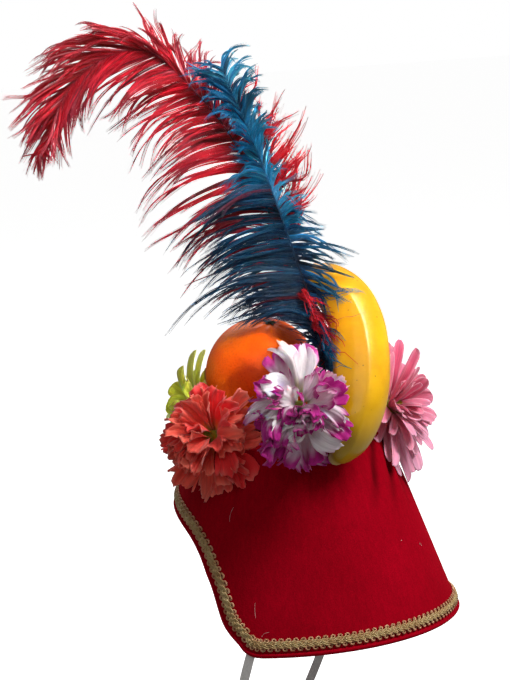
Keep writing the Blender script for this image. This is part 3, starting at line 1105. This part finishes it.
def makePlume(name, p, material):
    rng = random.Random(p["seed"])
    draw = np.random.default_rng(p["seed"])
    foot = hat["height"] + hat["gap"]
    route = np.array([(p["left"], back * p["rise"], foot + rise * p["rise"]) for back, rise in p["route"]])
    quill = smoothRoute(route, 240)
    left = np.array((1.0, 0.0, 0.0))
    pile = Pile()
    spots = np.linspace(0, 1, len(quill))[::3]
    radii = np.interp(spots, (0, 0.15, 0.6, 1), (0.0013, 0.0010, 0.0006, 0.0002))
    points, faces = tube(quill[::3], radii, np.broadcast_to(left, quill[::3].shape), 8)
    low, high = (np.array(toLinear(colour)[:3]) for colour in p["quill"])
    mix = np.repeat(np.clip(spots * 2.5 - 1.0, 0, 1), 8)[:, None]
    pile.add(toRow(points), faces, tint=low * (1 - mix) + high * mix)

    stations = np.linspace(0, 1, 13)[:, None]
    lines, marks = makeBarbs(p, quill, stations, rng)
    colours, tips, fringes, woolly = marks[:, :3], marks[:, 3:6], marks[:, 6], marks[:, 7]
    count, m = lines.shape[:2]
    along = unit(np.gradient(lines, axis=1))
    sideways = unit(np.cross(along, unit(draw.normal(size=(count, 1, 3)))))
    across = np.cross(sideways, along)
    half = np.interp(stations[:, 0], (0, 0.55, 1), (0.00048, 0.00040, 0.00008))[None, :] + 0.0001 * woolly[:, None]
    # each barb is a thin flat strip, turned its own way
    strips = lines[:, :, None] + half[..., None, None] * sideways[:, :, None] * np.array((-1, 1))[None, None, :, None]
    faces = (np.array(gridFaces(m, 2))[None] + (np.arange(count) * m * 2)[:, None, None]).reshape(-1, 4).tolist()

    def dyed(owner, share):
        # dark against the quill, clear along the barb, running to the tip's colour
        body = colours[owner] * np.interp(share, (0, 0.3, 1), (0.7, 1.0, 1.05))
        late = share**2.2 * 0.75
        return body * (1 - late) + tips[owner] * late

    owner = np.repeat(np.arange(count), m * 2)
    pile.add(toRow(strips.reshape(-1, 3)), faces, tint=dyed(owner, np.tile(np.repeat(stations, 2, axis=0), (count, 1))))

    # barbules: one thin blade each
    total = p["barbules"]
    weights = np.linalg.norm(np.diff(lines, axis=1), axis=2).sum(axis=1) * (1 + 1.2 * woolly)
    owner = draw.choice(count, size=total, p=weights / weights.sum())
    spot = draw.random(total) * (m - 1.02)
    k = spot.astype(int)
    part = (spot - k)[:, None]
    base = lines[owner, k] * (1 - part) + lines[owner, k + 1] * part
    ahead = along[owner, k]
    spin = draw.random(total)[:, None] * 2 * math.pi
    outward = np.cos(spin) * sideways[owner, k] + np.sin(spin) * across[owner, k]
    lean = draw.uniform(0.2, 0.6, total)[:, None] + 0.45 * woolly[owner][:, None]
    share = (spot / (m - 1))[:, None]
    longness = fringes[owner][:, None] * (1 - 0.6 * share**2) * draw.uniform(0.5, 1.25, total)[:, None]
    ends = base + (ahead * np.cos(lean) + outward * np.sin(lean)) * longness
    width = np.cross(ahead, outward) * 0.00014
    blades = np.stack((base - width, base + width, ends), axis=1)
    tint = np.repeat(dyed(owner, share) * draw.uniform(0.85, 1.25, total)[:, None], 3, axis=0)
    pile.add(toRow(blades.reshape(-1, 3)), np.arange(total * 3).reshape(-1, 3).tolist(), tint=tint)
    makePiece(name, pile, [material], p["node"])


makePlume("redOstrichPlume", redPlume, redBarbs)
makePlume("blueOstrichPlume", bluePlume, blueBarbs)


# floor and studio light

floorCard, tree, shader = newMaterial(
    "matt white card", Roughness=0.9, Specular_IOR_Level=0.1, Emission_Strength=0.80
)  # near white behind the hat, and it throws little light up at it
shader.inputs["Emission Color"].default_value = (1, 1, 1, 1)
place = addNode(tree, "TexCoord")
tooth = addNode(tree, "TexNoise", {"Scale": 30.0, "Detail": 2.0}, {0: place.outputs["Object"]})
tone = addNode(tree, "ValToRGB", {"stops": ((0.3, "#f4f4f3"), (0.7, "#f8f8f8"))}, {0: tooth})
tree.links.new(tone.outputs[0], shader.inputs["Base Color"])
shade = addNode(tree, "BsdfDiffuse", {"Color": (0.3, 0.3, 0.3, 1)})
path = addNode(tree, "LightPath")
seen = addNode(tree, "MixShader", links={0: path.outputs["Is Camera Ray"], 1: shade, 2: shader})
tree.links.new(seen.outputs[0], tree.nodes["Material Output"].inputs["Surface"])

floorMesh = bpy.data.meshes.new("floor")
reach, level = 30.0, -0.16
floorMesh.from_pydata([(-reach, -reach, level), (reach, -reach, level), (reach, reach, level), (-reach, reach, level)], [], [(0, 1, 2, 3)])
floorMesh.materials.append(floorCard)
floor = bpy.data.objects.new("floor", floorMesh)
bpy.context.scene.collection.objects.link(floor)

lights = {
    "key": {"right": 1.15, "up": 1.50, "back": 0.44, "aim": 0.16, "wide": 0.30, "tall": 1.00, "power": 40.0},
    "fill": {"right": -0.4, "up": 1.1, "back": 1.4, "aim": 0.16, "wide": 1.0, "tall": 1.0, "power": 3.0},
    # two gridded boxes that light the heap and the plumes and leave the crown to the key
    "fruitSpot": {"right": 0.62, "up": 0.42, "back": 1.15, "aim": 0.178, "wide": 0.16, "tall": 0.06,
                  "spread": 4.0, "power": 0.042},
    "plumeSpot": {"right": 0.40, "up": 0.75, "back": 1.20, "aim": 0.320, "wide": 0.25, "tall": 0.17,
                  "spread": 7.0, "power": 0.22},
    "rim": {"right": -0.3, "up": 1.1, "back": -1.3, "aim": 0.16, "wide": 0.9, "tall": 0.9, "power": 8.0},
}


def makeLights(lights):
    azimuth = math.radians(cameraSet["azimuth"])
    right = Vector((math.cos(azimuth), math.sin(azimuth), 0))
    back = Vector((toCamera.x, toCamera.y, 0)).normalized()
    for name, s in lights.items():
        lamp = bpy.data.lights.new(name, "AREA")
        lamp.shape = "RECTANGLE"
        lamp.size, lamp.size_y, lamp.energy = s["wide"], s["tall"], s["power"]
        lamp.spread = math.radians(s.get("spread", 180))
        light = bpy.data.objects.new(name, lamp)
        offset = right * s["right"] + Vector((0, 0, s["up"])) + back * s["back"]
        light.location = Vector((0, 0, s["aim"])) + offset
        light.rotation_euler = (-offset).to_track_quat("-Z", "Y").to_euler()
        bpy.context.scene.collection.objects.link(light)
    world = bpy.data.worlds.new("studio")
    world.use_nodes = True
    tree = world.node_tree
    background = tree.nodes["Background"]
    background.inputs["Color"].default_value = (1, 1, 1, 1)
    background.inputs["Strength"].default_value = 0.20
    backdrop = addNode(tree, "Background", {"Color": (1, 1, 1, 1), "Strength": 1.0})
    path = addNode(tree, "LightPath")
    seen = addNode(tree, "MixShader", links={0: path.outputs["Is Camera Ray"], 1: background, 2: backdrop})
    tree.links.new(seen.outputs[0], tree.nodes["World Output"].inputs["Surface"])
    bpy.context.scene.world = world


makeLights(lights)
bpy.context.scene.view_settings.view_transform = "Standard"
print("lights placed")
